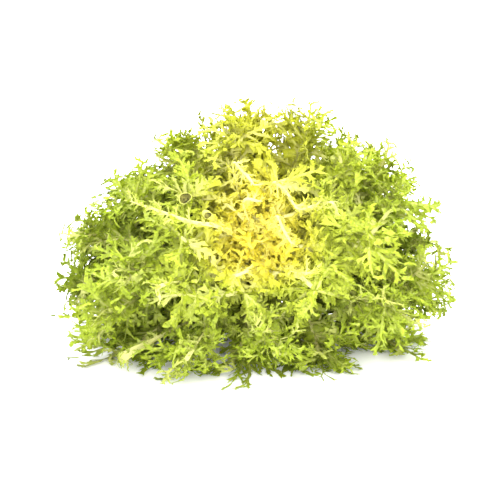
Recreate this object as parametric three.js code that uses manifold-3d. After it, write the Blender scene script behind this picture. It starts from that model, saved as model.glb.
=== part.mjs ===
// A head of curly endive (frisee), cut at the root and set down leaning back, its heart facing the front.
// A short stem carries a golden-angle spiral of finely cut leaves: small yellow ones in the heart, then
// longer and greener ones that arch away on all sides, down to the table that the lowest tips rest on.
// Frame: millimetres, +Z up, the heart towards -Y, origin on the table under the middle of the head.

import * as THREE from "three";
import Module from "manifold-3d";
import { mergeVertices } from "three/addons/utils/BufferGeometryUtils.js";

const wasm = await Module();
wasm.setup();
const { clamp, degToRad, lerp, smoothstep } = THREE.MathUtils;

// The outline of the whole head: a dome on a flatter base, its two halves meeting where it is broadest.
const HEAD_WIDTH = 300;
const HEAD_DEPTH = 206;
const WIDEST_HEIGHT = 58;
const DOME_HEIGHT = 132; // from there to the top
const DOME_LEAN = 18; // of its top towards +X
const DOME_ROUNDING = 1.7; // 2 is an ellipse, less is more pointed, more is squarer
const BASE_ROUNDING = 4.5;
const PLAN_ROUNDING = 2.2;
const TABLE_HEIGHT = 1.4; // what reaches lower than this is pressed flat on the table
const CORE = 64; // the head's size near the crown, under 1.5 times the way to the nearest outline
const LONGEST_SHARE = 1.2;
const OVERSHOOT = 0.05; // most that a lobe passes the outline by, as a share of the way out
const HALVINGS = 26;

// The crown is the point inside the stem that the leaves spread from. The head's axis leaves it through
// the middle of the heart.
const CROWN = new THREE.Vector3(4, 40, 60);
const AXIS_ELEVATION = degToRad(22);
const AXIS_YAW = degToRad(4); // towards +X
const FOUNTAIN = 0.36; // radians that a leaf half way round has bent away from the axis at its tip
const HEART_SHARE = 0.76; // of the way to the outline that the heart's leaves reach
const HEART_EDGE = degToRad(12); // from here the leaves grow longer
const HEART_END = degToRad(38); // and from here they reach the outline

// The stem, a dome that tapers to its cut.
const STEM_RADIUS = 17;
const STEM_CUT_RADIUS = 14;
const STEM_TAIL = 34; // from the crown to the cut
const STEM_EDGE = 1.5;
const STEM_SIDES = 20;
const STEM_DOME_STEPS = 5;
const ROOT_GAP = 0.4;

// The leaves of one spiral, from the heart outwards.
const WHORLS = [
  { name: "heart_leaf", count: 16, lobeSpacing: 7.2, color: 0xe6d94c },
  { name: "middle_leaf", count: 18, lobeSpacing: 9, color: 0xb9d04e },
  { name: "outer_leaf", count: 25, lobeSpacing: 9, color: 0x9dbb3c },
];
const LEAF_COUNT = WHORLS.reduce((sum, whorl) => sum + whorl.count, 0);
const HEART_SPREAD = degToRad(38); // of the heart's last leaf, from the axis
const SPREAD = degToRad(125); // of the last leaf of all
const STRETCH = new THREE.Vector3(1.35, 1, 0.9); // spaces them over the broad head instead of over a ball
const SHIFT = new THREE.Vector3(0, 0, 0.56); // and seen from the crown instead of from its middle
const LIFT = 0.05; // towards the higher upper half of the head, more so for the leaves further out
const GOLDEN_ANGLE = Math.PI * (3 - Math.sqrt(5));
const FIRST_LEAF_ANGLE = degToRad(185); // round the axis
const WIDEST_ROOM = 0.25; // most radians that a leaf counts as its own to a side
const CLEARANCE = 1.5; // from a leaf's middle surface to its border with the next leaf

// One leaf: a tapering rib with pairs of three-pointed lobes and one more lobe at its tip.
const RIB_HALF_WIDTH = { root: 3, tip: 1.1 };
const RIB_HALF_THICKNESS = { root: 1.5, tip: 0.4 };
const BLADE_HALF_THICKNESS = 0.38;
const RIB_END = 0.88; // share of the leaf's reach at which the rib passes into the last lobe
const LOBES_FROM = 0.45; // shares of the rib's length
const LOBES_TO = 0.88;
const NECK = 3.6; // width of a lobe where it leaves the rib
const LOBE_PITCH = { root: degToRad(22), tip: degToRad(48) }; // towards the leaf's tip
const LOBE_SPREAD = 1.9; // lobe length as a share of the half-angle to the next leaf
const LONGEST_LOBE = 38;
const LOBE_SHARE = 0.36; // of the leaf's length, that a lobe has at most
const TIP_LOBE_SHARE = 0.8; // the lobe at the tip's size as a share of the lobes beside it
const SHORTEST_LOBE = 5; // what has less room than this is left out
const LOBE_FAN = [-1, 0, 1].map((step) => step * degToRad(45)); // out of the leaf's own plane, pair by pair
const LEAF_TWIST = 0.5; // most radians from root to tip
const LEAF_SWAY = 0.34; // of the half-angle to the next leaf
const SWAY_TURNS = { side: 4, face: 3 }; // radians that its wave turns through from root to tip
const RIB_ROOM = { width: 0.7, thickness: 0.42 }; // of that half-angle, that its half sizes have at most
const LOBE_CHANGE = { least: 0.8, most: 1.2 }; // of a lobe's size
const MOST_PAIRS = 20; // the step between two leaves' draws
const DRAW_PRIMES = { sway: 3, twist: 5, curl: 7, size: 11 };
const FIRST_LEAF_SHIFT = 0.2; // of a step, that keeps the first leaf off the axis

// A lobe's outline as shares of its length, along it and across it towards the leaf's tip, with its curl.
const REAR_POINT = { along: 0.6, across: -0.32, curl: -0.08 };
const REAR_NOTCH = { along: 0.5, across: -0.11, curl: 0.02 };
const TIP_POINT = { along: 1, across: -0.04, curl: 0.16 };
const FRONT_NOTCH = { along: 0.56, across: 0.12, curl: 0.02 };
const FRONT_POINT = { along: 0.84, across: 0.27, curl: -0.04 };
const FORK_NOTCH = { along: 0.52, across: -0.1, curl: 0.02 };
const FORK_POINT = { along: 1, across: 0.08, curl: 0.16 };
const THREE_POINTED = [REAR_POINT, REAR_NOTCH, TIP_POINT, FRONT_NOTCH, FRONT_POINT];
const TWO_POINTED = [REAR_POINT, FORK_NOTCH, FORK_POINT];

const STEM_COLOR = 0xeeebc8;
const STEM_ROUGHNESS = 0.6;
const LEAF_ROUGHNESS = 0.5;

// The head's own frame: Z along its axis, X to the right and Y up along its face.
const AXIS = new THREE.Vector3(0, -Math.cos(AXIS_ELEVATION), Math.sin(AXIS_ELEVATION)).applyAxisAngle(
  new THREE.Vector3(0, 0, 1), AXIS_YAW);
const RIGHT = new THREE.Vector3(0, 0, 1).cross(AXIS).normalize();
const HEAD_FRAME = new THREE.Matrix4().makeBasis(RIGHT, new THREE.Vector3().crossVectors(AXIS, RIGHT), AXIS);

/** A repeatable, evenly spread number from 0 to 1: the fraction left of a multiple of a prime's root. */
function evenDraw(index, prime) {
  const multiple = (index + 1) * Math.sqrt(prime);
  return multiple - Math.floor(multiple);
}

/** The largest number from 0 to a limit that still passes a test, found by halving the range. */
function lastPassing(test, limit) {
  let near = 0;
  let far = limit;
  for (let halving = 0; halving < HALVINGS; halving++) {
    const middle = (near + far) / 2;
    if (test(middle)) near = middle;
    else far = middle;
  }
  return near;
}

/** The distance from the crown to the head's outline along a unit direction. */
function outlineDistance(direction) {
  const isInside = (distance) => {
    const point = CROWN.clone().addScaledVector(direction, distance);
    const above = point.z > WIDEST_HEIGHT;
    const lean = above ? DOME_LEAN * (point.z - WIDEST_HEIGHT) / DOME_HEIGHT : 0;
    const wide = Math.abs(point.x - lean) / (HEAD_WIDTH / 2);
    const deep = Math.abs(point.y) / (HEAD_DEPTH / 2);
    const across = (wide ** PLAN_ROUNDING + deep ** PLAN_ROUNDING) ** (1 / PLAN_ROUNDING);
    const up = Math.abs(point.z - WIDEST_HEIGHT) / (above ? DOME_HEIGHT : WIDEST_HEIGHT);
    const rounding = above ? DOME_ROUNDING : BASE_ROUNDING;
    return across ** rounding + up ** rounding < 1;
  };
  return lastPassing(isInside, HEAD_WIDTH);
}

/** The distance from the crown at a share of the way out: the same all round at first, the outline at 1. */
function distanceAt(share, outline) {
  return outline * share ** 3 + CORE * share * (1 - share * share);
}

/** The share of the way out at a distance from the crown. */
function shareAt(distance, outline) {
  return lastPassing((share) => distanceAt(share, outline) < distance, LONGEST_SHARE);
}

/** A share of the way out, with what would pass the outline folded in close to it. */
function heldShare(share) {
  return Math.min(share, 1) + OVERSHOOT * Math.tanh(Math.max(share - 1, 0) / OVERSHOOT);
}

/** The unit direction at a polar angle from the axis and an angle round it, in the head's frame. */
function headDirection(polar, around) {
  return new THREE.Vector3().setFromSphericalCoords(1, polar, around).applyAxisAngle(
    new THREE.Vector3(1, 0, 0), Math.PI / 2);
}

/**
 * Places a point of the straight, unbent head: a unit direction in the head's frame and a share of the way
 * to the outline. The direction opens away from the axis with the square of the share, so no two points meet.
 */
function place(direction, share) {
  const polar = Math.acos(clamp(direction.z, -1, 1));
  const opened = polar + FOUNTAIN * share ** 2 * Math.sin(polar) ** 2;
  const radial = new THREE.Vector3(direction.x, direction.y, 0).normalize();
  const bent = radial.multiplyScalar(Math.sin(opened)).setZ(Math.cos(opened)).transformDirection(HEAD_FRAME);
  return CROWN.clone().addScaledVector(bent, distanceAt(share, outlineDistance(bent)));
}

/** The distance from the crown to the stem's surface at a polar angle: a dome, then a cylinder. */
function stemDistance(polar) {
  return polar < Math.PI / 2 ? STEM_RADIUS : STEM_RADIUS / Math.sin(polar);
}

/** The angle of a leaf from the axis: evenly packed in the heart, and evenly but wider apart outside it. */
function spiralAngle(index) {
  const heartCount = WHORLS[0].count;
  if (index < heartCount) return HEART_SPREAD * Math.sqrt((index + FIRST_LEAF_SHIFT) / heartCount);
  const along = (index - heartCount + 0.5) / (LEAF_COUNT - heartCount);
  return Math.acos(lerp(Math.cos(HEART_SPREAD), Math.cos(SPREAD), along));
}

/** The spiral: where each leaf points, how far it reaches and the planes that part it from the others. */
function spiral() {
  const leaves = [];
  for (const whorl of WHORLS) {
    for (let number = 1; number <= whorl.count; number++) {
      const index = leaves.length;
      const even = headDirection(spiralAngle(index), FIRST_LEAF_ANGLE + index * GOLDEN_ANGLE);
      const lift = LIFT * (1 - even.z);
      const direction = even.multiply(STRETCH).add(SHIFT).setY(even.y + lift).normalize();
      const polar = Math.acos(direction.z);
      const outline = place(direction, 1).distanceTo(CROWN);
      const length = outline * lerp(HEART_SHARE, 1, smoothstep(polar, HEART_EDGE, HEART_END));
      const straight = outlineDistance(direction.clone().transformDirection(HEAD_FRAME));
      const root = distanceAt(shareAt(stemDistance(polar) + ROOT_GAP, straight), outline);
      const name = `${whorl.name}_${String(number).padStart(2, "0")}`;
      leaves.push({ index, name, whorl, polar, direction, outline, root, length });
    }
  }
  for (const leaf of leaves) {
    const others = leaves.filter((other) => other !== leaf);
    leaf.borders = others.map((other) => other.direction.clone().sub(leaf.direction).normalize());
    leaf.room = Math.min(WIDEST_ROOM, ...others.map((other) => leaf.direction.angleTo(other.direction) / 2));
  }
  return leaves;
}

/** The share by which a step from a point has to be cut to stay clear of a leaf's neighbours. */
function roomFor(leaf, start, end) {
  let share = 1;
  for (const border of leaf.borders) {
    const from = start.dot(border);
    const to = end.dot(border);
    if (to > -CLEARANCE && to > from) share = Math.min(share, (-CLEARANCE - from) / (to - from));
  }
  return Math.max(share, 0);
}

/** The rib of a leaf before bending: its middle, directions and half sizes at a share of its length. */
function ribAt(leaf, share) {
  const distance = lerp(leaf.root, leaf.length * RIB_END, share);
  const side = new THREE.Vector3(0, 0, 1).cross(leaf.direction).normalize();
  const face = new THREE.Vector3().crossVectors(leaf.direction, side);
  const sway = LEAF_SWAY * leaf.room * share;
  const phase = 2 * Math.PI * evenDraw(leaf.index, DRAW_PRIMES.sway);
  const middle = leaf.direction.clone()
    .addScaledVector(side, sway * Math.sin(phase + SWAY_TURNS.side * share))
    .addScaledVector(face, sway * Math.cos(phase + SWAY_TURNS.face * share))
    .setLength(distance);
  const turn = (evenDraw(leaf.index, DRAW_PRIMES.twist) - 0.5) * 2 * LEAF_TWIST * share;
  const left = side.clone().applyAxisAngle(leaf.direction, turn);
  const normal = face.clone().applyAxisAngle(leaf.direction, turn);
  const room = leaf.room * distance;
  const halfWidth = Math.min(lerp(RIB_HALF_WIDTH.root, RIB_HALF_WIDTH.tip, share), RIB_ROOM.width * room);
  const halfThickness = Math.min(
    lerp(RIB_HALF_THICKNESS.root, RIB_HALF_THICKNESS.tip, Math.sqrt(share)), RIB_ROOM.thickness * room);
  return { middle, forward: leaf.direction, left, normal, halfWidth, halfThickness };
}

/** The middle surface of a leaf before bending: points with a half thickness each, and triangles. */
class LeafSurface {
  constructor(leaf) {
    this.leaf = leaf;
    this.points = [];
    this.halves = [];
    this.triangles = [];
    this.addRib();
  }

  addPoint(point, half) {
    this.halves.push(half);
    return this.points.push(point) - 1;
  }

  /** The two edge points of the rib at a share of its length. */
  addStation(share) {
    const rib = ribAt(this.leaf, share);
    const edge = (sign) => this.addPoint(
      rib.middle.clone().addScaledVector(rib.left, sign * rib.halfWidth), rib.halfThickness);
    return { rib, share, left: edge(1), right: edge(-1) };
  }

  /** The rib from root to tip, with a pair of lobes on each short stretch of it and one lobe at its end. */
  addRib() {
    const { length, root, whorl } = this.leaf;
    const ribLength = length * RIB_END - root;
    const pairs = Math.max(Math.round((LOBES_TO - LOBES_FROM) * ribLength / whorl.lobeSpacing), 1) + 1;
    const halfNeck = NECK / 2 / ribLength;
    let last = this.addStation(0);
    const advance = (share) => {
      const next = this.addStation(share);
      this.triangles.push([last.right, next.right, next.left], [last.right, next.left, last.left]);
      last = next;
    };
    for (let pair = 0; pair < pairs; pair++) {
      const share = lerp(LOBES_FROM, LOBES_TO, pair / (pairs - 1));
      advance(share - halfNeck);
      const rear = last;
      advance(share + halfNeck);
      const fan = LOBE_FAN[pair % LOBE_FAN.length];
      this.addLobe(rear.left, last.left, last.rib, 1, fan, share, pair);
      this.addLobe(last.right, rear.right, last.rib, -1, -fan, share, pair);
    }
    advance(1);
    this.addLobe(last.left, last.right, last.rib, 0, 0, 1, pairs);
  }

  /** One lobe on the edge between two points: left (1) or right (-1) of the rib, or on its end (0). */
  addLobe(from, to, rib, sign, fan, share, pair) {
    const { leaf } = this;
    const pitch = lerp(LOBE_PITCH.root, LOBE_PITCH.tip, share);
    const out = rib.left.clone().multiplyScalar(sign || 1).multiplyScalar(Math.cos(fan))
      .addScaledVector(rib.normal, Math.sin(fan)).normalize();
    const along = sign
      ? out.clone().multiplyScalar(Math.cos(pitch)).addScaledVector(rib.forward, Math.sin(pitch))
      : rib.forward.clone();
    const across = sign
      ? rib.forward.clone().multiplyScalar(Math.cos(pitch)).addScaledVector(out, -Math.sin(pitch))
      : rib.left.clone();
    const drawIndex = leaf.index * MOST_PAIRS + pair;
    const curl = rib.normal.clone().multiplyScalar(evenDraw(drawIndex, DRAW_PRIMES.curl) < 0.5 ? 1 : -1);
    const base = this.points[from].clone().add(this.points[to]).multiplyScalar(0.5);
    const room = Math.min(leaf.room * base.length() * LOBE_SPREAD, LONGEST_LOBE, LOBE_SHARE * leaf.length);
    const change = lerp(LOBE_CHANGE.least, LOBE_CHANGE.most, evenDraw(drawIndex, DRAW_PRIMES.size));
    const size = room * (sign ? change : TIP_LOBE_SHARE);
    const shape = (pair + (sign > 0)) % 2 && sign ? TWO_POINTED : THREE_POINTED;
    const outline = shape.map((point) => base.clone()
      .addScaledVector(along, point.along * size)
      .addScaledVector(across, point.across * size)
      .addScaledVector(curl, point.curl * size));
    const cut = Math.min(...outline.map((point) => roomFor(leaf, base, point)));
    if (cut * size < SHORTEST_LOBE) return;
    const ids = outline.map((point) => this.addPoint(point.lerp(base, 1 - cut), BLADE_HALF_THICKNESS));
    if (sign > 0) ids.reverse();
    if (shape === TWO_POINTED) {
      const [first, notch, last] = ids;
      this.triangles.push([to, first, notch], [from, to, notch], [from, notch, last]);
      return;
    }
    const [first, firstNotch, tip, lastNotch, last] = ids;
    this.triangles.push(
      [to, first, firstNotch], [from, to, firstNotch], [from, firstNotch, lastNotch],
      [firstNotch, tip, lastNotch], [from, lastNotch, last],
    );
  }
}

/** A closed solid round a middle surface: two like skins, apart by twice each point's half, and a rim. */
function thicken(points, halves, triangles) {
  const normals = points.map(() => new THREE.Vector3());
  for (const [a, b, c] of triangles) {
    const normal = points[b].clone().sub(points[a]).cross(points[c].clone().sub(points[a]));
    for (const corner of [a, b, c]) normals[corner].add(normal);
  }
  const skins = [1, -1].flatMap((sign) => points.map((point, i) => (
    point.clone().addScaledVector(normals[i].normalize(), sign * halves[i]))));
  const under = points.length;
  const edges = new Set(triangles.flatMap(([a, b, c]) => [`${a},${b}`, `${b},${c}`, `${c},${a}`]));
  const faces = triangles.flatMap(([a, b, c]) => [[a, b, c], [under + a, under + c, under + b]]);
  for (const edge of edges) {
    const [a, b] = edge.split(",").map(Number);
    if (!edges.has(`${b},${a}`)) faces.push([b, a, under + a], [b, under + a, under + b]);
  }
  const geometry = new THREE.BufferGeometry().setFromPoints(skins);
  return geometry.setIndex(faces.flat());
}

/** The manifold solid of a closed geometry. */
function toSolid(geometry) {
  const bare = geometry.clone();
  bare.deleteAttribute("normal");
  bare.deleteAttribute("uv");
  const merged = mergeVertices(bare);
  return new wasm.Manifold(new wasm.Mesh({
    numProp: 3,
    vertProperties: new Float32Array(merged.attributes.position.array),
    triVerts: new Uint32Array(merged.index.array),
  }));
}

/** The largest piece of a solid, as a geometry. */
function toGeometry(solid) {
  const pieces = solid.decompose().sort((a, b) => b.volume() - a.volume());
  const mesh = pieces[0].getMesh();
  const geometry = new THREE.BufferGeometry();
  geometry.setAttribute("position", new THREE.BufferAttribute(new Float32Array(mesh.vertProperties), 3));
  return geometry.setIndex(new THREE.BufferAttribute(new Uint32Array(mesh.triVerts), 1));
}

/** One leaf, bent into its place in the head and flat where it meets the table. */
function leafGeometry(leaf) {
  const surface = new LeafSurface(leaf);
  const placed = surface.points.map((point) => (
    place(point.clone().normalize(), heldShare(shareAt(point.length(), leaf.outline)))));
  const geometry = thicken(placed, surface.halves, surface.triangles);
  geometry.computeBoundingBox();
  if (geometry.boundingBox.min.z > TABLE_HEIGHT) return geometry;
  const table = new THREE.BoxGeometry(2 * HEAD_WIDTH, 2 * HEAD_WIDTH, 2 * TABLE_HEIGHT + HEAD_WIDTH);
  table.translate(0, 0, -HEAD_WIDTH / 2);
  return toGeometry(toSolid(geometry).subtract(toSolid(table)));
}

/** The stem, turned about its axis: a dome under the leaves and a tapering tail down to the cut. */
function stemGeometry() {
  const profile = [new THREE.Vector2(0, STEM_RADIUS)];
  for (let step = 1; step <= STEM_DOME_STEPS; step++) {
    const angle = (step / STEM_DOME_STEPS) * (Math.PI / 2);
    profile.push(new THREE.Vector2(STEM_RADIUS * Math.sin(angle), STEM_RADIUS * Math.cos(angle)));
  }
  profile.push(new THREE.Vector2(STEM_CUT_RADIUS, STEM_EDGE - STEM_TAIL));
  profile.push(new THREE.Vector2(STEM_CUT_RADIUS - STEM_EDGE, -STEM_TAIL));
  profile.push(new THREE.Vector2(0, -STEM_TAIL));
  const stem = new THREE.LatheGeometry(profile.reverse(), STEM_SIDES);
  stem.rotateX(Math.PI / 2);
  stem.applyMatrix4(HEAD_FRAME);
  return stem.translate(CROWN.x, CROWN.y, CROWN.z);
}

/** A named mesh with its own finish. */
function piece(name, geometry, color, roughness) {
  const mesh = new THREE.Mesh(geometry, new THREE.MeshStandardMaterial({ color, roughness, metalness: 0 }));
  mesh.name = name;
  return mesh;
}

const head = new THREE.Group();
head.add(piece("stem", stemGeometry(), STEM_COLOR, STEM_ROUGHNESS));
for (const leaf of spiral()) {
  head.add(piece(leaf.name, leafGeometry(leaf), leaf.whorl.color, LEAF_ROUGHNESS));
}
const box = new THREE.Box3().setFromObject(head);
const middle = box.getCenter(new THREE.Vector3());
head.position.set(-middle.x, -middle.y, -box.min.z);

export default head;
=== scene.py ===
"""A head of curly endive: finely cut, frizzy leaves round a pale heart, lying tilted on its lowest leaves.

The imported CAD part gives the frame. Its stem box places the crown, and the same spiral, ribs and head
outline that shape its plain leaves carry the fine ones here, so each fine leaf lies where its solid is.
Metres, +Z up, the heart towards -Y.
"""

import logging
import math
from dataclasses import dataclass, field
from enum import Enum

import bpy
import numpy as np
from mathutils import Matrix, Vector
from numpy.typing import NDArray


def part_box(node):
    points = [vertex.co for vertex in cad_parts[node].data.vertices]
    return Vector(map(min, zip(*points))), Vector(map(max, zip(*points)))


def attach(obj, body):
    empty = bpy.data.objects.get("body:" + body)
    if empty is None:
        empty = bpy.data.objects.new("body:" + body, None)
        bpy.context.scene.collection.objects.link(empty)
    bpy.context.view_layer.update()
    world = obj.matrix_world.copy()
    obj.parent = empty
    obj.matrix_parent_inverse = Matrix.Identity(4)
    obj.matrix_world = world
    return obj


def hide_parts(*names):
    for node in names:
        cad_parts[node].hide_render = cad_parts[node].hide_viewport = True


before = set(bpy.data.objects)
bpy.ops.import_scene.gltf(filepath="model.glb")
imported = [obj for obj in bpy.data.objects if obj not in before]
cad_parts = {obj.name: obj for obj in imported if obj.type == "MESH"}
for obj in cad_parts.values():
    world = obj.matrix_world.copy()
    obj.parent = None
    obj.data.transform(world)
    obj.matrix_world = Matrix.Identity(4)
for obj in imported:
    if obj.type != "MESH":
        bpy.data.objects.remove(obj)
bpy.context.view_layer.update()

LOG = logging.getLogger("endive")
MM = 0.001
FULL_TURN = 2 * math.pi
GOLDEN_ANGLE = math.pi * (3 - math.sqrt(5))
STEM_RADIUS = 17 * MM

Array = NDArray[np.float64]
Indices = NDArray[np.int64]
Place = tuple[float, float, float]
Pair = tuple[float, float]


# ---------------------------------------------------------------------------------------------------------
# Small tools for whole arrays of vectors
# ---------------------------------------------------------------------------------------------------------


def unit(vectors: Array) -> Array:
    """Vectors divided by their own lengths, along the last axis."""
    return vectors / np.maximum(np.linalg.norm(vectors, axis=-1, keepdims=True), 1e-12)


def mix(start: Array | float, end: Array | float, share: Array | float) -> Array:
    """A straight blend: start where the share is 0 and end where it is 1."""
    return start + (end - start) * share


def smooth(share: Array | float) -> Array:
    """The cubic ease from 0 to 1: three squares less two cubes of the share, held within 0 and 1."""
    held = np.clip(share, 0, 1)
    return held * held * (3 - 2 * held)


def even_draw(index: Array | int, prime: int) -> Array:
    """A repeatable, evenly spread number from 0 to 1: the fraction left of a multiple of a prime's root."""
    return (np.asarray(index) + 1) * math.sqrt(prime) % 1


def squared_to(vectors: Array, headings: Array) -> Array:
    """Unit vectors at right angles to unit headings: each vector less its part along its heading."""
    return unit(vectors - headings * np.sum(vectors * headings, axis=-1, keepdims=True))


def at_lengths(spots: Array, lengths: Array, vectors: Array) -> Array:
    """Vectors at spots along a line, as straight blends of those at its stations.

    Args:
        spots: Lengths along the line at which they are wanted.
        lengths: The stations' lengths along the line.
        vectors: A vector for each station.

    Returns:
        A vector for each spot.
    """
    return np.column_stack([np.interp(spots, lengths, part) for part in vectors.T])


# ---------------------------------------------------------------------------------------------------------
# The head's outline and the spiral of its leaves
# ---------------------------------------------------------------------------------------------------------


@dataclass(frozen=True)
class HeadShape:
    """The head's outline and the map that bends straight leaves into it, as in the part's source."""

    crown: Array
    width: float = 300 * MM
    depth: float = 206 * MM
    widest_height: float = 58 * MM
    dome_height: float = 132 * MM
    dome_lean: float = 18 * MM
    dome_rounding: float = 1.7
    base_rounding: float = 4.5
    plan_rounding: float = 2.2
    crown_place: Place = (4 * MM, 40 * MM, 60 * MM)
    core: float = 64 * MM
    longest_share: float = 1.2
    axis_elevation: float = math.radians(22)
    axis_yaw: float = math.radians(4)
    fountain: float = 0.36
    halvings: int = 22

    @property
    def axis(self) -> Array:
        """The unit direction out of the heart: level towards -Y, then tipped up and turned towards +X.

        Returns:
            One unit vector.
        """
        level = math.cos(self.axis_elevation)
        return np.array([
            level * math.sin(self.axis_yaw),
            -level * math.cos(self.axis_yaw),
            math.sin(self.axis_elevation),
        ])

    @property
    def basis(self) -> Array:
        """The head's own frame as columns: to the right, up along its face, and along its axis."""
        right = unit(np.cross([0.0, 0.0, 1.0], self.axis))
        return np.stack([right, np.cross(self.axis, right), self.axis], axis=1)

    def outline_distance(self, directions: Array) -> Array:
        """The distance from the crown to the outline, found by halving.

        Inside, the level distance from the middle as a share of the half width and half depth, to the power
        of the rounding, plus the height from the widest level as a share of the dome or base, to the same
        power, is under 1.

        Args:
            directions: Unit directions in the world, one a row.

        Returns:
            One distance for each direction.
        """
        near = np.zeros(len(directions))
        far = np.full(len(directions), self.width)
        for _ in range(self.halvings):
            middle = (near + far) / 2
            point = np.array(self.crown_place) + directions * middle[:, None]
            above = point[:, 2] > self.widest_height
            lean = self.dome_lean * np.maximum(point[:, 2] - self.widest_height, 0) / self.dome_height
            wide = np.abs(point[:, 0] - lean) / (self.width / 2)
            deep = np.abs(point[:, 1]) / (self.depth / 2)
            across = (wide**self.plan_rounding + deep**self.plan_rounding) ** (1 / self.plan_rounding)
            reach = np.where(above, self.dome_height, self.widest_height)
            rounding = np.where(above, self.dome_rounding, self.base_rounding)
            up = np.abs(point[:, 2] - self.widest_height) / reach
            inside = across**rounding + up**rounding < 1
            near = np.where(inside, middle, near)
            far = np.where(inside, far, middle)
        return near

    def distance_at(self, share: Array, outline: Array | float) -> Array:
        """The distance at a share of the way out: the core's size at first, the outline at 1."""
        return outline * share**3 + self.core * share * (1 - share * share)

    def share_at(self, distance: Array, outline: Array | float) -> Array:
        """The share of the way out at a distance from the crown, found by halving.

        Args:
            distance: Distances from the crown.
            outline: The outline's distance, one for all or one for each.

        Returns:
            One share for each distance.
        """
        near = np.zeros_like(distance)
        far = np.full_like(distance, self.longest_share)
        for _ in range(self.halvings):
            middle = (near + far) / 2
            passes = self.distance_at(middle, outline) < distance
            near = np.where(passes, middle, near)
            far = np.where(passes, far, middle)
        return near

    def place(self, directions: Array, shares: Array) -> Array:
        """Bends straight leaves into the head.

        The angle from the axis grows by the fountain times the square of the share and of the angle's
        sine, and the distance is that of the share in the bent direction.

        Args:
            directions: Unit directions in the head's own frame, one a row.
            shares: Shares of the way out.

        Returns:
            Points in the world.
        """
        polar = np.arccos(np.clip(directions[:, 2], -1, 1))
        opened = polar + self.fountain * shares**2 * np.sin(polar) ** 2
        radial = unit(directions[:, :2])
        bent = np.column_stack([radial * np.sin(opened)[:, None], np.cos(opened)]) @ self.basis.T
        return self.crown + bent * self.distance_at(shares, self.outline_distance(bent))[:, None]


class Whorl(Enum):
    """The three kinds of leaf, from the heart outwards: a leaf's name, the record's slot and how many."""

    HEART = ("heart_leaf", "heart_leaves", 16)
    MIDDLE = ("middle_leaf", "middle_leaves", 18)
    OUTER = ("outer_leaf", "outer_leaves", 25)

    def __init__(self, leaf: str, slot: str, count: int) -> None:
        """Keeps the three values under names of their own.

        Args:
            leaf: A leaf's name without its number.
            slot: The record's slot for these leaves.
            count: How many leaves of this kind the head has.
        """
        self.leaf = leaf
        self.slot = slot
        self.count = count


@dataclass(frozen=True)
class LeafSeat:
    """Where one leaf grows: its direction from the crown, its reach and the room around it."""

    index: int
    name: str
    whorl: Whorl
    direction: Array
    outline: float
    root: float
    length: float
    room: float


@dataclass(frozen=True)
class Spiral:
    """The golden-angle spiral of leaf seats round the crown, as in the part's source."""

    shape: HeadShape
    heart_share: float = 0.76
    heart_edge: float = math.radians(12)
    heart_end: float = math.radians(38)
    heart_spread: float = math.radians(38)
    heart_start: float = 0.2
    spread: float = math.radians(125)
    spread_start: float = 0.5
    stretch: Place = (1.35, 1.0, 0.9)
    shift: Place = (0.0, 0.0, 0.56)
    lift: float = 0.05
    phase: float = math.radians(185)
    widest_room: float = 0.25
    stem_radius: float = STEM_RADIUS
    root_gap: float = 0.4 * MM

    def polar_angles(self) -> Array:
        """Angles from the axis: packed evenly by area in the heart, and evenly but wider apart outside.

        Returns:
            One angle for each leaf, from the heart outwards.
        """
        heart = Whorl.HEART.count
        total = sum(whorl.count for whorl in Whorl)
        inner = self.heart_spread * np.sqrt((np.arange(heart) + self.heart_start) / heart)
        along = (np.arange(total - heart) + self.spread_start) / (total - heart)
        outer = np.arccos(mix(math.cos(self.heart_spread), math.cos(self.spread), along))
        return np.concatenate([inner, outer])

    def seats(self) -> list[LeafSeat]:
        """Every leaf's seat.

        A leaf points a golden angle further round the axis than the one before it. The directions are
        then stretched, shifted forwards and lifted. A leaf is as long as the outline is far, but shorter in
        the heart, and its room is half the angle to its nearest neighbour.

        Returns:
            The seats, from the heart outwards.
        """
        shape = self.shape
        polar = self.polar_angles()
        around = np.arange(len(polar)) * GOLDEN_ANGLE + self.phase
        even = np.column_stack([
            np.sin(polar) * np.sin(around),
            -np.sin(polar) * np.cos(around),
            np.cos(polar),
        ])
        lifts = self.lift * (1 - even[:, 2])
        directions = even * self.stretch + self.shift
        directions[:, 1] += lifts
        directions = unit(directions)
        leaning = np.arccos(directions[:, 2])
        outlines = np.linalg.norm(shape.place(directions, np.ones(len(polar))) - shape.crown, axis=1)
        ease = smooth((leaning - self.heart_edge) / (self.heart_end - self.heart_edge))
        lengths = outlines * mix(self.heart_share, 1.0, ease)
        straight = shape.outline_distance(directions @ shape.basis.T)
        stem = np.where(leaning < math.pi / 2, self.stem_radius, self.stem_radius / np.sin(leaning))
        roots = shape.distance_at(shape.share_at(stem + self.root_gap, straight), outlines)
        between = np.arccos(np.clip(directions @ directions.T, -1, 1)) + np.eye(len(polar)) * math.pi
        rooms = np.minimum(self.widest_room, between.min(axis=1) / 2)
        kinds = [
            (f"{whorl.leaf}_{number:02d}", whorl) for whorl in Whorl for number in range(1, whorl.count + 1)
        ]
        return [
            LeafSeat(i, *kind, directions[i], outlines[i], roots[i], lengths[i], rooms[i])
            for i, kind in enumerate(kinds)
        ]


# ---------------------------------------------------------------------------------------------------------
# Strips: many curled, tapering strips of leaf as whole arrays
# ---------------------------------------------------------------------------------------------------------


LEAST_CURL = 1e-3


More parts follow.
